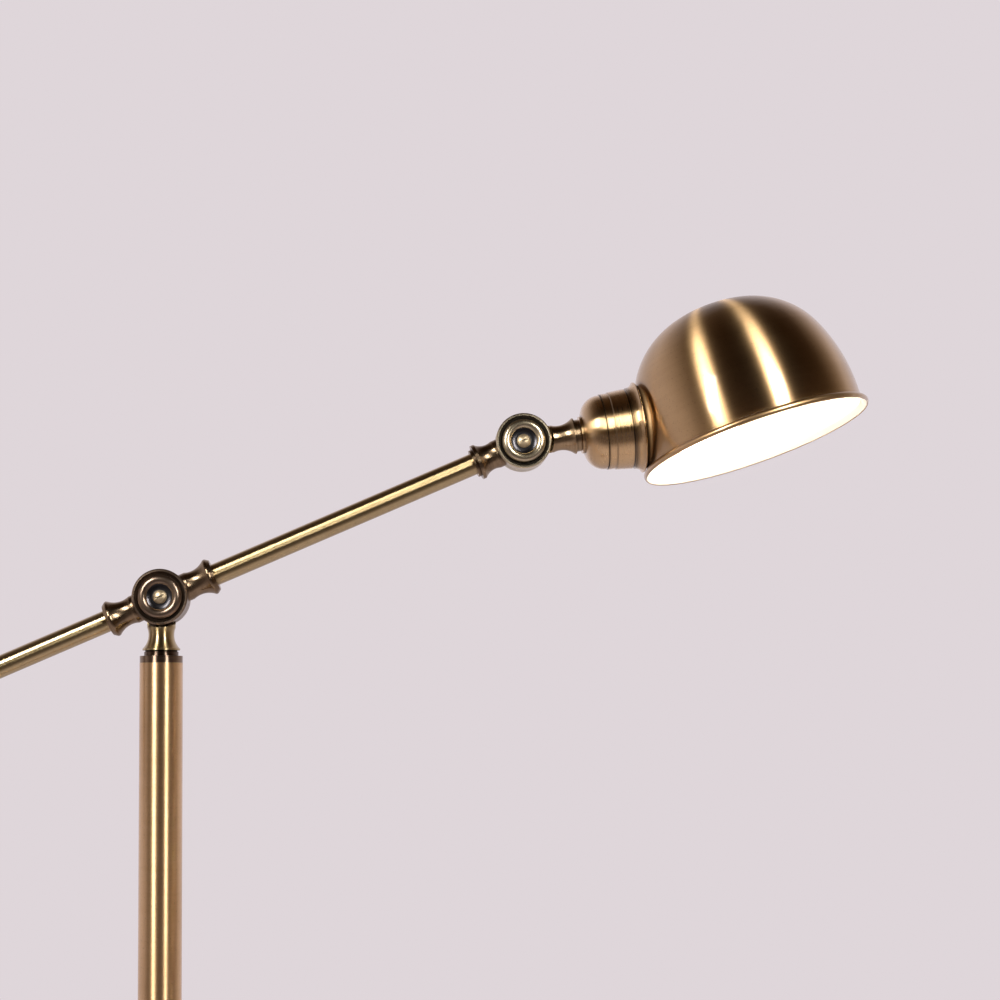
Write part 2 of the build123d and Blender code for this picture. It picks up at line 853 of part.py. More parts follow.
def from_cup(points):
    """Points measured from the cup's small end, as points along the holder's axis."""
    return [(cup_start + distance, radius) for distance, radius in points]


with BuildPart() as holder_cup:
    with BuildSketch(holder_axis):
        with BuildLine():
            bell = CenterArc(bell_centre, bell_radius, 90, bell_turn)
            Polyline(
                bell @ 0,
                *from_cup([
                    (bead_start - bead_groove, bell_top),
                    (bead_start, bell_top - bead_groove),
                    (bead_start, bead_radius),
                    (bead_end, bead_radius),
                    (bead_end, belly_radius - bead_groove),
                    (bead_end + bead_groove, belly_radius),
                    (cup_length, mouth_radius),
                    (cup_length, spigot_radius),
                    (spigot_end, spigot_radius),
                    (spigot_end, spigot_radius - spigot_wall),
                    (bell_centre_at, bell_top - cup_wall),
                ]),
            )
            CenterArc(bell_centre, bell_radius - cup_wall, 90, 90)
            Polyline(
                *from_cup([
                    (cup_floor, bell_centre_radius),
                    (cup_floor, nipple_running),
                    (0, nipple_running),
                    (0, cup_ring_radius),
                    (bell_begin - cup_ring_step, cup_ring_radius),
                ]),
                bell @ 1,
            )
        make_face()
    revolve(axis=along_axis(holder_axis))
    with BuildSketch(square_plane(holder_axis, cup_floor_end - cup_floor / 2)):
        with Locations((-stop_pin_ring, 0)):
            Circle(stop_pin_radius)
    extrude(amount=cup_floor, mode=Mode.SUBTRACT)
save(holder_cup, "holder_cup")

# Flange ring screwed on the cup's mouth. Its front boss bears on the shade's seat
shell_pocket = screw_shell_radius + seat_fit
holder_radius = shell_pocket + holder_wall
holder_bore = holder_radius + running_fit
counterbore = spigot_radius + seat_fit
flange_begin = cup_length + flange_joint_gap
flange_groove_end = flange_begin + flange_groove_width
flange_start_radius = mouth_radius + flange_step
flange_radius = mouth_radius + flange_overhang
ledge = spigot_end + shoulder_thickness + 2 * face_gap
flange_end = ledge + flange_front
flange_back_face = flange_end - flange_back
seat_boss_radius = holder_bore + seat_boss_wall
boss_end = flange_end + seat_boss_length
with BuildPart() as holder_flange:
    with BuildSketch(holder_axis):
        with BuildLine():
            flare = ThreePointArc(*from_cup([
                (flange_groove_end, flange_start_radius),
                (flange_end - flange_sweep_run, flange_start_radius + flange_sweep_rise),
                (flange_end - flange_lip, flange_radius),
            ]))
            Polyline(
                flare @ 1,
                *from_cup([
                    (flange_end, flange_radius),
                    (flange_end, flange_radius - flange_lip_width),
                    (flange_back_face, flange_start_radius - flange_lip_width),
                    (flange_back_face, seat_boss_radius),
                    (boss_end, seat_boss_radius),
                    (boss_end, holder_bore),
                    (ledge, holder_bore),
                    (ledge, counterbore),
                    (flange_begin, counterbore),
                    (flange_begin, counterbore + flange_wall),
                    (flange_groove_end, counterbore + flange_wall),
                ]),
                flare @ 0,
            )
        make_face()
    revolve(axis=along_axis(holder_axis))
    widest = edges().filter_by(GeomType.CIRCLE).group_by(SortBy.RADIUS)[-1]
    fillet(widest.sort_by(along_axis(holder_axis))[-1], flange_edge_round)
save(holder_flange, "holder_flange")

# Lamp holder: moulded body with a shoulder under the flange, screw shell and centre contact
seat_distance = cup_start + boss_end
seat_back = seat_distance + shade_wall
holder_start = cup_start + holder_setback
holder_floor = holder_start + holder_floor_thickness
holder_end = seat_back + ring_nut_length + holder_thread_spare
shoulder_start = cup_start + spigot_end + face_gap
shoulder_end = shoulder_start + shoulder_thickness
shoulder_outside = spigot_radius - face_gap
with BuildPart() as lampholder_body:
    with BuildSketch(holder_axis):
        with BuildLine():
            Polyline(
                (holder_start, wire_bore),
                (holder_start, holder_radius - holder_back_chamfer),
                (holder_start + holder_back_chamfer, holder_radius),
                (shoulder_start, holder_radius),
                (shoulder_start, shoulder_outside),
                (shoulder_end, shoulder_outside),
                (shoulder_end, holder_radius),
                (holder_end, holder_radius),
                (holder_end, shell_pocket),
                (holder_floor, shell_pocket),
                (holder_floor, wire_bore),
                close=True,
            )
        make_face()
    revolve(axis=along_axis(holder_axis))
save(lampholder_body, "lampholder_body")
contact_end = holder_floor + contact_thickness
ring(
    holder_axis, contact_end, contact_end + screw_shell_length,
    screw_shell_radius, screw_shell_radius - screw_shell_wall, "lampholder_shell",
)
with BuildPart() as lampholder_contact:
    with BuildSketch(square_plane(holder_axis, holder_floor)):
        Circle(contact_radius)
        Rectangle(2 * (screw_shell_radius - contact_radius), contact_radius)
    extrude(amount=contact_thickness)
save(lampholder_contact, "lampholder_contact")

# Spun shade: a flattened dome of three tangent arcs, with a solid bead half round its edge.
# Its profile is measured from the middle of the mouth, as radius and height
crown_centre = Vector(0, dome_height - crown_radius)
crown_turn = Vector(sin(radians(crown_half_angle)), cos(radians(crown_half_angle)))
shoulder_centre = crown_centre + crown_turn * (crown_radius - shoulder_radius)
shoulder_turn = Vector(sin(radians(shoulder_half_angle)), cos(radians(shoulder_half_angle)))
skirt_centre = shoulder_centre + shoulder_turn * (shoulder_radius - skirt_radius)
bead_lift = rim_bead_radius * sin(radians(rim_bead_tilt))
bead_reach = rim_bead_radius * cos(radians(rim_bead_tilt))
skirt_half_angle = degrees(acos((2 * bead_lift - skirt_centre.Y) / skirt_radius))
skirt_foot_radius = skirt_centre.X + skirt_radius * sin(radians(skirt_half_angle))
rim_bead_centre = (skirt_foot_radius + bead_reach, bead_lift)
mouth_edge_radius = skirt_foot_radius + 2 * bead_reach
seat_radius = seat_boss_radius + seat_gap
seat_rim_start = cup_start + flange_end + seat_rim_gap
seat_rim_radius = flange_radius - seat_rim_inset
seat_rim_end = seat_back + seat_rim_radius ** 2 / (2 * skirt_foot_radius)
shade_frame = Plane(holder_axis.location * Location((shade_along, -shade_drop, 0), (0, 0, shade_pitch)))


def dome_arc(centre, radius, start, end):
    """Arc of the dome between two angles from its axis."""
    return CenterArc(centre, radius, 90 - end, end - start)


def dome_curve(inset):
    """The dome's three arcs, inset by a wall. Returns the skirt's end."""
    dome_arc(crown_centre, crown_radius - inset, 0, crown_half_angle)
    dome_arc(shoulder_centre, shoulder_radius - inset, crown_half_angle, shoulder_half_angle)
    skirt = dome_arc(skirt_centre, skirt_radius - inset, shoulder_half_angle, skirt_half_angle)
    return skirt @ 0


with BuildPart() as shade_hollow:
    with BuildSketch(shade_frame):
        with BuildLine():
            skirt_end = dome_curve(shade_wall)
            Polyline(
                skirt_end,
                (mouth_edge_radius, 0),
                (mouth_edge_radius, -rim_bead_radius),
                (0, -rim_bead_radius),
                (0, dome_height - shade_wall),
            )
        make_face()
    revolve(axis=Axis(shade_frame.origin, shade_frame.y_dir))
    with BuildSketch(square_plane(holder_axis, cup_start)):
        Circle(seat_radius + shade_wall)
    extrude(amount=seat_back - cup_start, mode=Mode.SUBTRACT)

with BuildPart() as shade:
    with BuildSketch(shade_frame):
        with BuildLine():
            dome_curve(0)
            CenterArc(rim_bead_centre, rim_bead_radius, -rim_bead_tilt, 180)
            Polyline((mouth_edge_radius, 0), (0, 0), (0, dome_height))
        make_face()
    revolve(axis=Axis(shade_frame.origin, shade_frame.y_dir))
    # Raised ring under the flange's rim, run in as far as the dome curves away across it
    with BuildSketch(square_plane(holder_axis, seat_rim_start)):
        Circle(seat_rim_radius)
    extrude(amount=seat_rim_end - seat_rim_start)
    add(shade_hollow.part, mode=Mode.SUBTRACT)
    # Flat seat for the flange's boss, and the holder's hole
    with BuildSketch(square_plane(holder_axis, cup_start)):
        Circle(seat_radius)
    extrude(amount=seat_distance - cup_start, mode=Mode.SUBTRACT)
    with BuildSketch(square_plane(holder_axis, cup_start)):
        Circle(holder_bore)
    extrude(amount=seat_back - cup_start, mode=Mode.SUBTRACT)
save(shade, "shade")

# Ring nut that clamps the shade from inside
ring_nut_radius = seat_radius + shade_wall - ring_nut_gap
with BuildPart() as shade_ring_nut:
    with BuildSketch(square_plane(holder_axis, seat_back)):
        Circle(ring_nut_radius)
        Circle(holder_radius + seat_fit, mode=Mode.SUBTRACT)
        with PolarLocations(ring_nut_radius, ring_notch_count):
            Rectangle(2 * ring_notch_depth, ring_notch_width, mode=Mode.SUBTRACT)
    extrude(amount=ring_nut_length)
save(shade_ring_nut, "shade_ring_nut")

# Small globe bulb: glass, screw cap and tip contact
bulb_cap_back = contact_end + bulb_tip_height
bulb_cap_start = bulb_cap_back + bulb_cap_taper
bulb_cap_end = bulb_cap_start + bulb_cap_length
bulb_cap_radius = screw_shell_radius - screw_shell_wall - bulb_cap_clearance
bulb_cap_inside = bulb_cap_radius - bulb_cap_wall
bulb_neck_radius = bulb_cap_inside - bulb_neck_gap
bulb_neck_start = bulb_cap_end - bulb_neck_insert
blend_reach = bulb_radius + bulb_neck_blend
blend_centre = (bulb_cap_end - bulb_neck_cover, bulb_neck_radius + bulb_neck_blend)
blend_run = (blend_reach ** 2 - blend_centre[1] ** 2) ** 0.5
blend_turn = degrees(asin(blend_run / blend_reach))
bulb_centre = blend_centre[0] + blend_run


def globe_curve(inset):
    """Neck, blend and globe of the bulb, inset by the glass."""
    neck = bulb_neck_radius - inset
    Line((bulb_neck_start, neck), (blend_centre[0], neck))
    CenterArc(blend_centre, bulb_neck_blend + inset, -90, blend_turn)
    CenterArc((bulb_centre, 0), bulb_radius - inset, 0, 90 + blend_turn)


with BuildPart() as bulb_globe:
    with BuildSketch(holder_axis):
        with BuildLine():
            globe_curve(0)
            globe_curve(bulb_wall)
            Line((bulb_neck_start, bulb_neck_radius), (bulb_neck_start, bulb_neck_radius - bulb_wall))
            Line((bulb_centre + bulb_radius, 0), (bulb_centre + bulb_radius - bulb_wall, 0))
        make_face()
    revolve(axis=along_axis(holder_axis))
save(bulb_globe, "bulb_globe")

with BuildPart() as bulb_cap:
    with BuildSketch(holder_axis):
        with BuildLine():
            Polyline(
                (bulb_cap_back, 0),
                (bulb_cap_back, bulb_cap_back_radius),
                (bulb_cap_start, bulb_cap_radius),
                (bulb_cap_end, bulb_cap_radius),
                (bulb_cap_end, bulb_cap_inside),
                (bulb_cap_start, bulb_cap_inside),
                (bulb_cap_start, 0),
                close=True,
            )
        make_face()
    revolve(axis=along_axis(holder_axis))
save(bulb_cap, "bulb_cap")
with BuildPart() as bulb_tip:
    with BuildSketch(square_plane(holder_axis, contact_end)):
        Circle(bulb_tip_radius)
    extrude(amount=bulb_tip_height)
save(bulb_tip, "bulb_tip")
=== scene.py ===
import json
import math

import bpy
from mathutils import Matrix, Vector

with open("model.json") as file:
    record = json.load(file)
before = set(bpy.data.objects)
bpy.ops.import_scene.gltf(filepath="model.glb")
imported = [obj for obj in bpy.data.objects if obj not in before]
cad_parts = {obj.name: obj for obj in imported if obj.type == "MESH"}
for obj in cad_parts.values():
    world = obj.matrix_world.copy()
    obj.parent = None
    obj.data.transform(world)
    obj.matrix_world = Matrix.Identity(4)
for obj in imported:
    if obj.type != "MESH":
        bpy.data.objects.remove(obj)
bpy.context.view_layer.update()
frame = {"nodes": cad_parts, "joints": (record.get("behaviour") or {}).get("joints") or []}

nodes = frame["nodes"]
joints = {joint["name"]: joint for joint in frame["joints"]}

# Places and directions that the looks are laid out on, in metres, in the part's frame
UP = Vector((0.0, 0.0, 1.0))
ACROSS = Vector((0.0, 1.0, 0.0))
POLE_FOOT = Vector((0.0, 0.0, 0.0))
POLE_KNUCKLE = Vector(joints["boom_tilt"]["pos_m"])
HEAD_KNUCKLE = Vector(joints["head_tilt"]["pos_m"])
BOOM_AXIS = (HEAD_KNUCKLE - POLE_KNUCKLE).normalized()
HEAD_AXIS = Vector(joints["shade_turn"]["axis"]).normalized()
HEAD_UP = HEAD_AXIS.cross(ACROSS)

# The middle of the shade's mouth lies along the holder and under it,
# and the shade is rolled and pitched on the holder
SHADE_REACH = 0.13665
SHADE_DROP = 0.01925
SHADE_ROLL = math.radians(6.0)
SHADE_PITCH = math.radians(9.3)
SHADE_LIFT = math.cos(SHADE_ROLL) * HEAD_UP + math.sin(SHADE_ROLL) * ACROSS
SHADE_CENTRE = HEAD_KNUCKLE + SHADE_REACH * HEAD_AXIS - SHADE_DROP * SHADE_LIFT
SHADE_AXIS = math.cos(SHADE_PITCH) * SHADE_LIFT - math.sin(SHADE_PITCH) * HEAD_AXIS
# A point inside the dome, which the dome's inner faces look towards
INSIDE_HEIGHT = 0.025
INSIDE_POINT = SHADE_CENTRE + INSIDE_HEIGHT * SHADE_AXIS

# Heights over the shade's mouth: top of the rim's bead, end of the bare edge, start of the full enamel
RIM_TOP = 0.0037
BARE_EDGE = 0.00025
ENAMEL_EDGE = 0.00055
# Raised ring round the shade's hole: its start along the holder, its radius and how nearly a face lies on it,
# and how far along the holder the shade's near side goes
SEAT_START = 0.07005
SEAT_RADIUS = 0.0246
SEAT_SLACK = 0.0002
NEAR_SIDE = 0.1
# Reach of a knuckle's disc from its screw, and depth of the stem's lip under the pole knuckle
DISC_EDGE = 0.0168
STEM_LIP = 0.0311
# Where the bulb's glow begins and where it is full, along the holder, and its strength
GLOW_START = 0.084
GLOW_FULL = 0.100
GLOW_STRENGTH = 24.0
SMOOTH_ANGLE = math.radians(32)


class Graph:
    """A material's node tree, with short calls to add nodes and join them."""

    def __init__(self, tree):
        self.tree = tree
        self.tree.nodes.clear()

    def add(self, kind, inputs=None, **settings):
        made = self.tree.nodes.new("ShaderNode" + kind)
        for key, value in settings.items():
            setattr(made, key, value)
        for key, value in (inputs or {}).items():
            self.put(made.inputs[key], value)
        return made

    def put(self, socket, value):
        if isinstance(value, bpy.types.NodeSocket):
            self.tree.links.new(value, socket)
        else:
            socket.default_value = value

    def math(self, operation, first, second=0.0):
        made = self.add("Math", {0: first, 1: second}, operation=operation)
        return made.outputs[0]

    def vector(self, operation, first, second=(0.0, 0.0, 0.0)):
        made = self.add("VectorMath", {0: first, 1: second}, operation=operation)
        return made.outputs["Value" if operation in ("DOT_PRODUCT", "LENGTH") else "Vector"]

    def scaled(self, vector, factor):
        made = self.add("VectorMath", {0: vector, "Scale": factor}, operation="SCALE")
        return made.outputs["Vector"]

    def noise(self, vector, scale, detail=2.0, roughness=0.5):
        settings = {"Vector": vector, "Scale": scale, "Detail": detail, "Roughness": roughness}
        return self.add("TexNoise", settings).outputs["Fac"]

    def spread(self, value, low, high, low_out=0.0, high_out=1.0):
        made = self.add("MapRange", {"Value": value, "From Min": low, "From Max": high})
        self.put(made.inputs["To Min"], low_out)
        self.put(made.inputs["To Max"], high_out)
        return made.outputs["Result"]

    def mix(self, factor, first, second):
        made = self.add("Mix", data_type="RGBA")
        self.put(made.inputs[0], factor)
        self.put(made.inputs[6], first)
        self.put(made.inputs[7], second)
        return made.outputs[2]

    def ramp(self, value, stops):
        made = self.add("ValToRGB", {"Fac": value})
        elements = made.color_ramp.elements
        while len(elements) < len(stops):
            elements.new(1.0)
        for element, (position, color) in zip(elements, stops):
            element.position = position
            element.color = color
        return made.outputs["Color"]

    def bump(self, height, strength, distance):
        settings = {"Height": height, "Strength": strength, "Distance": distance}
        return self.add("Bump", settings).outputs["Normal"]

    def finish(self, shader, kind="Material"):
        output = self.add("Output" + kind)
        self.tree.links.new(shader.outputs[0], output.inputs["Surface"])


def new_material(name):
    material = bpy.data.materials.new(name)
    material.use_nodes = True
    return material, Graph(material.node_tree)


def rgb(red, green, blue):
    return (red, green, blue, 1.0)


# Dark, middle and bright tones of the metals
BRASS = (rgb(0.06, 0.034, 0.015), rgb(0.46, 0.285, 0.135), rgb(0.58, 0.375, 0.185))
PALE_BRASS = (rgb(0.07, 0.042, 0.02), rgb(0.77, 0.48, 0.24), rgb(0.89, 0.60, 0.33))
CUP_BRASS = (rgb(0.05, 0.028, 0.012), rgb(0.56, 0.36, 0.175), rgb(0.70, 0.47, 0.245))
OLIVE_BRASS = (rgb(0.06, 0.038, 0.014), rgb(0.42, 0.30, 0.14), rgb(0.56, 0.43, 0.23))
AGED_BRASS = (rgb(0.016, 0.012, 0.011), rgb(0.40, 0.32, 0.21), rgb(0.68, 0.58, 0.41))
BRONZE = (rgb(0.012, 0.008, 0.007), rgb(0.14, 0.097, 0.07), rgb(0.36, 0.26, 0.185))
DARK_STUB = (rgb(0.014, 0.009, 0.006), rgb(0.14, 0.092, 0.056), rgb(0.38, 0.27, 0.165))
GOLD_STUB = (rgb(0.016, 0.010, 0.006), rgb(0.25, 0.168, 0.095), rgb(0.50, 0.36, 0.215))
# Tones for the neck under the stem's lip, dark as painted shade
NECK_SHADE_TONES = (rgb(0.010, 0.006, 0.005), rgb(0.055, 0.034, 0.026), rgb(0.22, 0.155, 0.11))
SCREW_BRASS = (rgb(0.012, 0.009, 0.007), rgb(0.50, 0.38, 0.23), rgb(0.74, 0.60, 0.40))
BARE_BRASS = (rgb(0.16, 0.11, 0.05), rgb(0.58, 0.43, 0.21), rgb(0.74, 0.58, 0.31))
GUNMETAL = (rgb(0.004, 0.004, 0.005), rgb(0.022, 0.02, 0.022), rgb(0.10, 0.095, 0.10))
NICKEL = (rgb(0.10, 0.10, 0.10), rgb(0.56, 0.54, 0.50), rgb(0.74, 0.72, 0.68))
# Dark bands, each with its place along the holder, its reach and its depth of tone:
# painted shadow in the gap at the shade's raised ring, and painted shade with dark wax in the holder's
# grooves
SEAT_SHADOW = ((SEAT_START, 0.0024, 1.0),)
CUP_GROOVE_SHADE_AND_WAX = ((0.0480, 0.0010, 0.45), (0.0527, 0.0008, 0.35), (0.0630, 0.0009, 0.9), (0.0640, 0.0022, 0.5))

# The metals' finish: marks per metre, width of a rubbed edge in metres, and the clear lacquer
FINE_RINGS = 900.0
SHADE_RINGS = 3000.0
BROAD_RINGS = 320.0
CLOUDS = 34.0
SPECKS = 900.0
EDGE_WEAR = 0.0005
LACQUER = 0.7
RIM_LACQUER = 0.9
LACQUER_ROUGHNESS = 0.08


def ring_noise(g, around, axis, track, bend, rings, detail, roughness):
    """Noise drawn out into rings round an axis, uneven by bend on the way round."""
    lengthwise = g.scaled(tuple(axis), g.math("MULTIPLY", track, rings))
    return g.noise(g.vector("ADD", g.scaled(around, bend), lengthwise), 1.0, detail, roughness)


def wax_and_painted_shade(g, along, recess_shade_and_wax, nook, shade_and_wax_bands):
    """How dark the surface is painted: shade and dark wax in recesses as wide as nook, and in the dark bands.
    """
    hollow = g.add("AmbientOcclusion", {"Distance": nook}, samples=6, only_local=True).outputs["AO"]
    shade_and_wax_amount = g.spread(hollow, 0.35, 0.95, recess_shade_and_wax, 0.0)
    for position, reach, depth in shade_and_wax_bands:
        distance = g.math("ABSOLUTE", g.math("SUBTRACT", along, position))
        shade_and_wax_amount = g.math("MAXIMUM", shade_and_wax_amount, g.spread(distance, 0.3 * reach, reach, depth, 0.0))
    return shade_and_wax_amount


def rubbed_edge(g):
    """How far the surface is rubbed bright: most where it turns sharply."""
    rounded = g.add("Bevel", {"Radius": EDGE_WEAR}, samples=4).outputs["Normal"]
    flat = g.add("NewGeometry").outputs["Normal"]
    return g.spread(g.vector("DOT_PRODUCT", rounded, flat), 0.985, 0.9, 0.0, 0.55)


def turned_metal(
    name, origin, axis, tones, lean=1.0, rough=0.26, stretch=1.0,
    rings=FINE_RINGS, recess_shade_and_wax=0.6, nook=0.0024, shade_and_wax_bands=(), lacquer=0.0,
):
    """Lathe-brushed metal: fine rings round an axis, cloudy mottled tone, painted shade and dark wax in
    recesses, rubbed edges.

    Tones are the dark, middle and bright colours. Lean is 1 where the piece widens along its axis.
    Stretch is how far the brushing draws out a highlight, and lacquer how much a clear coat shows.
    Recess shade and wax is how dark the recesses are painted, as shade and dark wax.
    Shade and wax bands are dark bands of painted shade, some with wax too, each with its place along the
    axis, its reach and its depth of tone.
    """
    material, g = new_material(name)
    place = g.vector("SUBTRACT", g.add("TexCoord").outputs["Object"], tuple(origin))
    along = g.vector("DOT_PRODUCT", place, tuple(axis))
    radial = g.vector("SUBTRACT", place, g.scaled(tuple(axis), along))
    around = g.vector("NORMALIZE", radial)
    track = g.math("ADD", along, g.math("MULTIPLY", g.vector("LENGTH", radial), lean))
    fine = ring_noise(g, around, axis, track, 0.5, rings, 3.0, 0.65)
    broad = ring_noise(g, around, axis, track, 0.8, BROAD_RINGS, 2.0, 0.5)
    cloud = g.noise(place, CLOUDS, 3.0, 0.55)
    speck = g.noise(place, SPECKS, 1.0)
    shade_and_wax_amount = wax_and_painted_shade(g, along, recess_shade_and_wax, nook, shade_and_wax_bands)
    dark, middle, bright = tones
    body = g.mix(g.spread(g.math("ADD", fine, broad), 0.6, 1.4, 0.25, 0.75), middle, bright)
    body = g.mix(g.spread(cloud, 0.42, 0.75, 0.0, 0.42), body, middle)
    body = g.mix(g.spread(speck, 0.62, 0.78, 0.0, 0.2), body, dark)
    body = g.mix(rubbed_edge(g), body, bright)
    # Painted shade and dark wax: darker in recesses and in the dark bands
    body = g.mix(shade_and_wax_amount, body, dark)
    dull = g.math("ADD", g.spread(fine, 0.3, 0.7, -0.015, 0.015), g.spread(cloud, 0.3, 0.7, -0.02, 0.03))
    lay = g.add("VectorTransform", vector_type="VECTOR", convert_from="OBJECT", convert_to="WORLD")
    g.put(lay.inputs["Vector"], g.vector("ADD", tuple(axis), g.scaled(around, lean)))
    shader = g.add("BsdfPrincipled", {
        "Base Color": body,
        "Metallic": 1.0,
        "Roughness": g.math("ADD", g.math("ADD", dull, rough), g.math("MULTIPLY", shade_and_wax_amount, 0.25)),
        "Anisotropic": stretch,
        "Coat Weight": lacquer,
        "Coat Roughness": LACQUER_ROUGHNESS,
        "Tangent": lay.outputs["Vector"],
        "Normal": g.bump(fine, 0.005, 0.00003),
    })
    g.finish(shader)
    return material


def knuckle_stub(name, knuckle, axis, tones):
    return turned_metal(name, knuckle, axis, tones, rough=0.24, stretch=0.8, recess_shade_and_wax=0.9)


def knuckle_washer(name, knuckle):
    return turned_metal(name, knuckle, ACROSS, GUNMETAL, rough=0.26, stretch=0.2)


# Screws painted fully dark in their slots and round their heads, as painted shade
def knuckle_screw(name, knuckle):
    return turned_metal(name, knuckle, ACROSS, SCREW_BRASS, rough=0.42, stretch=0.2, recess_shade_and_wax=1.0)


def bare_metal(name, origin, axis, tones=BARE_BRASS):
    return turned_metal(name, origin, axis, tones, rough=0.3)


def plain_surface(name, low, high, rough, scale, relief, depth, metallic=0.0):
    """Mottled, slightly uneven surface, cast, moulded or felted, between a low and a high tone."""
    material, g = new_material(name)
    place = g.add("TexCoord").outputs["Object"]
    grain = g.noise(place, scale, 4.0, 0.6)
    cloud = g.noise(place, scale / 12.0, 2.0)
    tone = g.mix(g.spread(g.math("ADD", grain, cloud), 0.7, 1.3), low, high)
    shader = g.add("BsdfPrincipled", {
        "Base Color": tone,
        "Metallic": metallic,
        "Roughness": g.spread(grain, 0.3, 0.7, rough - 0.06, rough + 0.06),
        "Normal": g.bump(grain, relief, depth),
    })
    g.finish(shader)
    return material


def enamel():
    """White enamel inside the shade, sprayed in a faint ripple and wiped off the very edge of the rim."""
    material, g = new_material("white_enamel")
    place = g.add("TexCoord").outputs["Object"]
    height = g.vector("DOT_PRODUCT", g.vector("SUBTRACT", place, tuple(SHADE_CENTRE)), tuple(SHADE_AXIS))
    wiped = g.spread(height, BARE_EDGE, ENAMEL_EDGE, 1.0, 0.0)
    ripple = g.noise(place, 700.0, 2.0)
    tone = g.mix(g.spread(g.noise(place, 30.0), 0.35, 0.65), rgb(0.86, 0.84, 0.80), rgb(0.90, 0.885, 0.85))
    shader = g.add("BsdfPrincipled", {
        "Base Color": g.mix(wiped, tone, BRASS[1]),
        "Metallic": wiped,
        "Roughness": 0.32,
        "Normal": g.bump(ripple, 0.1, 0.0001),
    })
    g.finish(shader)
    return material


def lit_glass():
    """Opal glass of the lit bulb, brightest round its middle and fainter towards the neck."""
    material, g = new_material("lit_opal_glass")
    place = g.add("TexCoord").outputs["Object"]
    along = g.vector("DOT_PRODUCT", g.vector("SUBTRACT", place, tuple(HEAD_KNUCKLE)), tuple(HEAD_AXIS))
    cloud = g.spread(g.noise(place, 60.0), 0.3, 0.7, 0.92, 1.0)
    glow = g.math("MULTIPLY", g.spread(along, GLOW_START, GLOW_FULL, 0.35, 1.0), cloud)
    shader = g.add("BsdfPrincipled", {
        "Base Color": rgb(0.93, 0.90, 0.85),
        "Roughness": 0.18,
        "Emission Color": rgb(1.0, 0.88, 0.70),
        "Emission Strength": g.math("MULTIPLY", glow, GLOW_STRENGTH),
    })
    g.finish(shader)
    return material


pole_brass = turned_metal("brass_pole", POLE_FOOT, UP, PALE_BRASS, rough=0.46, lacquer=LACQUER)
base_brass = turned_metal("brass_base", POLE_FOOT, UP, BRASS, lean=-1.0, lacquer=LACQUER)
boom_brass = turned_metal("brass_boom", POLE_KNUCKLE, BOOM_AXIS, OLIVE_BRASS, rough=0.31, lacquer=LACQUER)
# The cup, with painted shade and dark wax in its grooves
cup_brass = turned_metal(
    "brass_cup", HEAD_KNUCKLE, HEAD_AXIS, CUP_BRASS,
    rough=0.27, recess_shade_and_wax=0.95, shade_and_wax_bands=CUP_GROOVE_SHADE_AND_WAX, lacquer=LACQUER,
)
shade_brass = turned_metal(
    "brass_shade", SHADE_CENTRE, SHADE_AXIS, BRASS,
    lean=-1.0, rough=0.31, rings=SHADE_RINGS, recess_shade_and_wax=0.3, lacquer=LACQUER,
)
rim_brass = turned_metal(
    "brass_rim", SHADE_CENTRE, SHADE_AXIS, BRASS,
    rough=0.33, stretch=0.0, recess_shade_and_wax=0.2, lacquer=RIM_LACQUER,
)
# The raised ring under the flange, with a painted shadow band where it meets the flange's gap
seat_brass = turned_metal(
    "brass_seat", HEAD_KNUCKLE, HEAD_AXIS, BRASS,
    rough=0.5, stretch=0.2, shade_and_wax_bands=SEAT_SHADOW,
)
# Knuckle discs, their grooves and recesses painted dark as shade and wax
pole_disc = turned_metal(
    "bronze_pole_disc", POLE_KNUCKLE, ACROSS, BRONZE,
    rough=0.28, stretch=0.4, recess_shade_and_wax=0.5, nook=0.0016,
)
head_disc = turned_metal(
    "aged_head_disc", HEAD_KNUCKLE, ACROSS, AGED_BRASS,
    rough=0.26, stretch=0.3, recess_shade_and_wax=1.0, nook=0.004,
)
stem_metal = turned_metal("aged_stem", POLE_FOOT, UP, OLIVE_BRASS, rough=0.36, recess_shade_and_wax=0.95, lacquer=LACQUER)
cap_metal = turned_metal("bronze_cap", POLE_FOOT, UP, BRONZE, rough=0.3, recess_shade_and_wax=0.97)
# Painted shade: the neck under the stem's lip is painted dark
neck_painted_shade = turned_metal("bronze_neck_painted_shade", POLE_FOOT, UP, NECK_SHADE_TONES, rough=0.3, recess_shade_and_wax=0.97)
boom_stub = knuckle_stub("bronze_boom_stub", POLE_KNUCKLE, BOOM_AXIS, DARK_STUB)
head_stub = knuckle_stub("bronze_head_stub", HEAD_KNUCKLE, HEAD_AXIS, GOLD_STUB)
pole_washer = knuckle_washer("gunmetal_pole", POLE_KNUCKLE)
head_washer = knuckle_washer("gunmetal_head", HEAD_KNUCKLE)
pole_screw = knuckle_screw("bare_brass_pole_screw", POLE_KNUCKLE)
head_screw = knuckle_screw("bare_brass_head_screw", HEAD_KNUCKLE)
pole_bare = bare_metal("bare_brass_pole", POLE_FOOT, UP)
boom_bare = bare_metal("bare_brass_boom", POLE_KNUCKLE, BOOM_AXIS)
head_bare = bare_metal("bare_brass_holder", HEAD_KNUCKLE, HEAD_AXIS)
bulb_metal = bare_metal("bulb_cap_metal", HEAD_KNUCKLE, HEAD_AXIS, NICKEL)
cast_iron = plain_surface(
    "cast_iron", rgb(0.03, 0.03, 0.032), rgb(0.085, 0.083, 0.085),
    rough=0.7, scale=420.0, relief=0.6, depth=0.0006, metallic=0.6,
)
felt = plain_surface(
    "pressed_felt", rgb(0.010, 0.016, 0.011), rgb(0.03, 0.042, 0.031),
    rough=0.94, scale=1500.0, relief=0.8, depth=0.0006,
)
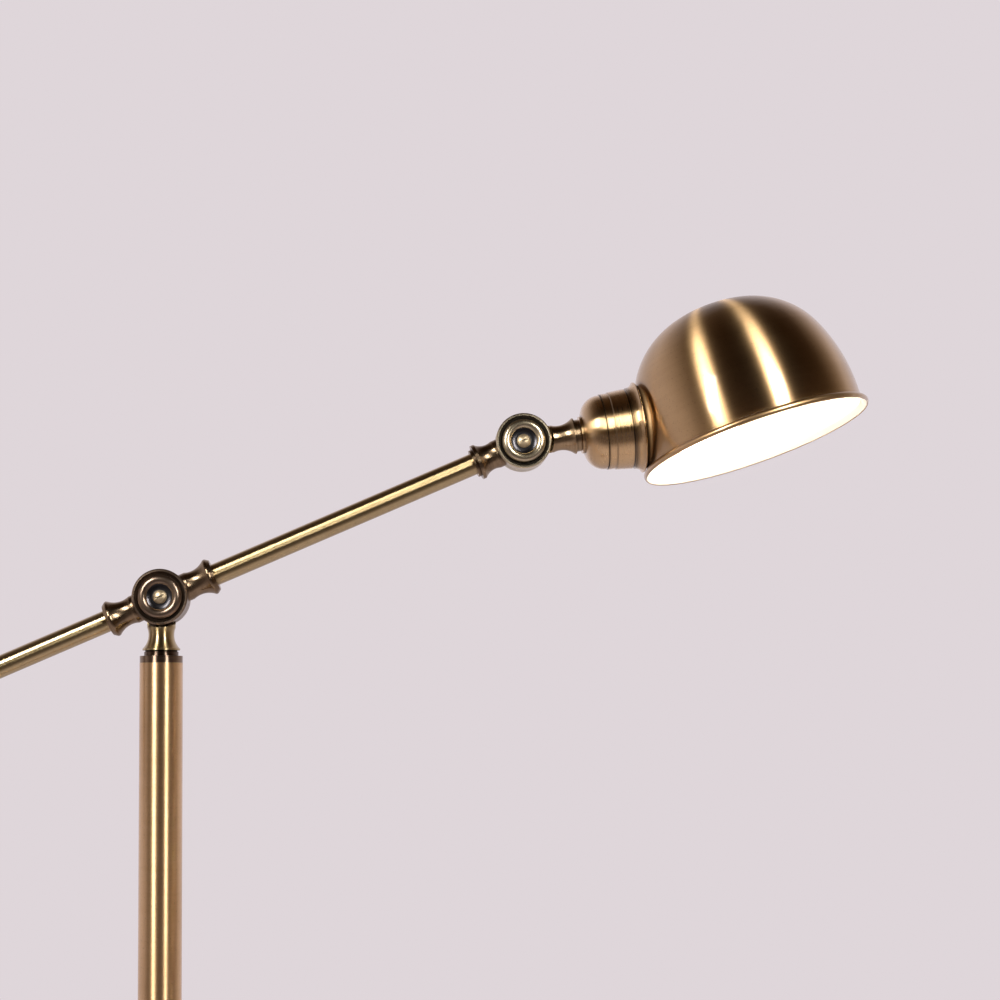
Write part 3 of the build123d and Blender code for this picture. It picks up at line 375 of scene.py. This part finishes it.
bushing = plain_surface(
    "black_bushing", rgb(0.010, 0.009, 0.008), rgb(0.028, 0.025, 0.022),
    rough=0.55, scale=1200.0, relief=0.25, depth=0.0002,
)
fibre = plain_surface(
    "pressed_fibre", rgb(0.13, 0.045, 0.025), rgb(0.24, 0.10, 0.06),
    rough=0.75, scale=1400.0, relief=0.5, depth=0.0003,
)
phenolic = plain_surface(
    "phenolic", rgb(0.010, 0.008, 0.007), rgb(0.030, 0.024, 0.020),
    rough=0.3, scale=260.0, relief=0.15, depth=0.0003,
)
white_enamel = enamel()
opal_glass = lit_glass()

looks = {
    "base_felt": felt,
    "base_weight": cast_iron,
    "base_cover": base_brass,
    "inlet_bushing": bushing,
    "base_nut": pole_bare,
    "base_washer": pole_bare,
    "base_nipple": pole_bare,
    "pole_foot": pole_bare,
    "pole_collar": base_brass,
    "pole_lower_tube": pole_brass,
    "pole_joint": stem_metal,
    "pole_upper_tube": pole_brass,
    "pole_cap": cap_metal,
    "swivel_stop_pin": pole_bare,
    "swivel_nipple": pole_bare,
    "swivel_stop_washer": pole_bare,
    "swivel_nut": pole_bare,
    "pole_knuckle_screw": pole_screw,
    "pole_knuckle_nut": pole_screw,
    "pole_knuckle_friction_disc": fibre,
    "pole_knuckle_cup_washer": pole_washer,
    "boom_tube": boom_brass,
    "tail_tube": boom_brass,
    "counterweight": boom_brass,
    "counterweight_screw": boom_bare,
    "head_knuckle_cup_washer": head_washer,
    "head_knuckle_screw": head_screw,
    "head_knuckle_nut": head_screw,
    "head_knuckle_friction_disc": fibre,
    "holder_nipple": head_bare,
    "holder_spacer": head_stub,
    "holder_stop_washer": head_bare,
    "holder_nut": head_bare,
    "holder_stop_pin": head_bare,
    "holder_cup": cup_brass,
    "holder_flange": cup_brass,
    "lampholder_body": phenolic,
    "lampholder_shell": head_bare,
    "lampholder_contact": head_bare,
    "shade_ring_nut": phenolic,
    "bulb_cap": bulb_metal,
    "bulb_globe": opal_glass,
    "bulb_tip": bulb_metal,
}
# Knuckle halves: the look of the stub, the look of the disc, and the knuckle's middle
knuckle_looks = {
    "stem_knuckle": (stem_metal, pole_disc, POLE_KNUCKLE),
    "boom_knuckle": (boom_stub, pole_disc, POLE_KNUCKLE),
    "arm_knuckle": (boom_stub, head_disc, HEAD_KNUCKLE),
    "head_knuckle": (head_stub, head_disc, HEAD_KNUCKLE),
}


def dress(piece, *materials):
    piece.data.materials.clear()
    for material in materials:
        piece.data.materials.append(material)
    piece.data.shade_smooth()
    piece.data.set_sharp_from_angle(angle=SMOOTH_ANGLE)


def dress_knuckle(piece, stub, disc, knuckle):
    """A stub with the knuckle's disc in a second look."""
    dress(piece, stub, disc)
    for face in piece.data.polygons:
        offset = face.center - knuckle
        if math.hypot(offset.x, offset.z) < DISC_EDGE:
            face.material_index = 1


def dress_neck(piece):
    """The neck under the stem's lip, painted near black as shade, as a third look."""
    piece.data.materials.append(neck_painted_shade)
    for face in piece.data.polygons:
        if face.center.z < POLE_KNUCKLE.z - STEM_LIP:
            face.material_index = 2


def dress_shade(piece):
    """Brass outside and enamel inside, with two more looks for the raised ring and the rim's bead."""
    dress(piece, shade_brass, white_enamel, seat_brass, rim_brass)
    for face in piece.data.polygons:
        offset = face.center - HEAD_KNUCKLE
        along = offset.dot(HEAD_AXIS)
        radius = (offset - along * HEAD_AXIS).length
        if abs(radius - SEAT_RADIUS) < SEAT_SLACK and along < NEAR_SIDE:
            face.material_index = 2
        elif face.normal.dot(face.center - INSIDE_POINT) < 0:
            face.material_index = 1
        elif (face.center - SHADE_CENTRE).dot(SHADE_AXIS) < RIM_TOP:
            face.material_index = 3


for name, material in looks.items():
    dress(nodes[name], material)
for name, (stub, disc, knuckle) in knuckle_looks.items():
    dress_knuckle(nodes[name], stub, disc, knuckle)
dress_neck(nodes["stem_knuckle"])
dress_shade(nodes["shade"])

# Floor, studio light and camera
FLOOR_RADIUS = 4.4
FLOOR_GLOW = 0.4
BACKDROP = rgb(0.737, 0.672, 0.701)
ROOM_AXIS = (-0.36, 0.933, 0.0)
CEILING_AXIS = (0.0, -0.6, 1.0)
CEILING_SHADE = (0.085, 0.05, 0.022)
LAMP_MIDDLE = Vector((0.17, 0.0, 1.2))


def make_floor():
    """Pale floor that keeps shadows and shows pale to the camera.

    In the metal it shows pale under and behind the lamp, and dim in front.
    """
    bpy.ops.mesh.primitive_circle_add(vertices=96, radius=FLOOR_RADIUS, fill_type="NGON")
    floor = bpy.context.object
    floor.name = "floor"
    material, g = new_material("pale_floor")
    place = g.add("TexCoord").outputs["Object"]
    mottle = g.spread(g.noise(place, 3.0, 4.0), 0.3, 0.7)
    tone = g.mix(mottle, rgb(0.70, 0.645, 0.665), rgb(0.74, 0.68, 0.70))
    path = g.add("LightPath")
    ahead = g.spread(g.vector("DOT_PRODUCT", place, tuple(ACROSS)), -1.3, -0.6, 0.75, 0.0)
    dim = g.math("MULTIPLY", path.outputs["Is Glossy Ray"], ahead)
    seen = g.math("MAXIMUM", path.outputs["Is Camera Ray"], path.outputs["Is Glossy Ray"])
    g.finish(g.add("BsdfPrincipled", {
        "Base Color": g.mix(dim, tone, rgb(0.12, 0.085, 0.06)),
        "Roughness": 0.7,
        "Emission Color": BACKDROP,
        "Emission Strength": g.math("MULTIPLY", g.math("SUBTRACT", seen, dim), FLOOR_GLOW),
    }))
    floor.data.materials.append(material)


def make_softbox(name, azimuth, elevation, distance, width, height, power):
    """A soft light that faces the lamp, with angles in degrees from straight in front."""
    data = bpy.data.lights.new(name, "AREA")
    data.shape = "RECTANGLE"
    data.size = width
    data.size_y = height
    data.energy = power
    data.color = (1.0, 0.99, 0.97)
    light = bpy.data.objects.new(name, data)
    side = math.radians(azimuth)
    lift = math.radians(elevation)
    away = Vector((math.sin(side) * math.cos(lift), -math.cos(side) * math.cos(lift), math.sin(lift)))
    light.location = LAMP_MIDDLE + distance * away
    light.rotation_euler = away.to_track_quat("Z", "Y").to_euler()
    bpy.context.scene.collection.objects.link(light)


def make_world():
    """Pale backdrop behind the lamp, and a dim warm studio towards the camera and overhead."""
    world = bpy.data.worlds.new("studio")
    bpy.context.scene.world = world
    world.use_nodes = True
    g = Graph(world.node_tree)
    direction = g.add("TexCoord").outputs["Generated"]
    depth = g.spread(g.vector("DOT_PRODUCT", direction, ROOM_AXIS), -1.0, 1.0)
    room = g.ramp(depth, (
        (0.0, rgb(0.014, 0.007, 0.0025)),
        (0.10, rgb(0.11, 0.068, 0.034)),
        (0.28, rgb(0.13, 0.088, 0.055)),
        (0.44, rgb(0.37, 0.30, 0.25)),
        (0.55, rgb(0.68, 0.60, 0.57)),
        (0.70, BACKDROP),
    ))
    overhead = g.spread(g.vector("DOT_PRODUCT", direction, CEILING_AXIS), 0.16, 0.72)
    room = g.mix(overhead, room, g.vector("MULTIPLY", room, CEILING_SHADE))
    path = g.add("LightPath")
    seen = g.mix(path.outputs["Is Camera Ray"], room, BACKDROP)
    shader = g.add("Background", {"Color": seen, "Strength": 1.0})
    g.finish(shader, "World")


def make_camera():
    """A camera at about the height of the pole's top, tilted a little up."""
    data = bpy.data.cameras.new("camera")
    data.sensor_width = 36.0
    data.lens = 58.67
    data.shift_x = 0.11
    data.shift_y = 0.085
    camera = bpy.data.objects.new("camera", data)
    camera.location = (0.136, -0.96, 1.089)
    camera.rotation_euler = (math.radians(90 + 4.038), math.radians(0.304), math.radians(0.089))
    bpy.context.scene.collection.objects.link(camera)
    bpy.context.scene.camera = camera


make_floor()
make_softbox("softbox_left", azimuth=-39, elevation=20, distance=1.0, width=0.2, height=0.47, power=9.0)
make_softbox("softbox_right", azimuth=30.5, elevation=20, distance=0.92, width=0.18, height=0.43, power=7.6)
make_world()
make_camera()
bpy.context.scene.view_settings.view_transform = "Standard"
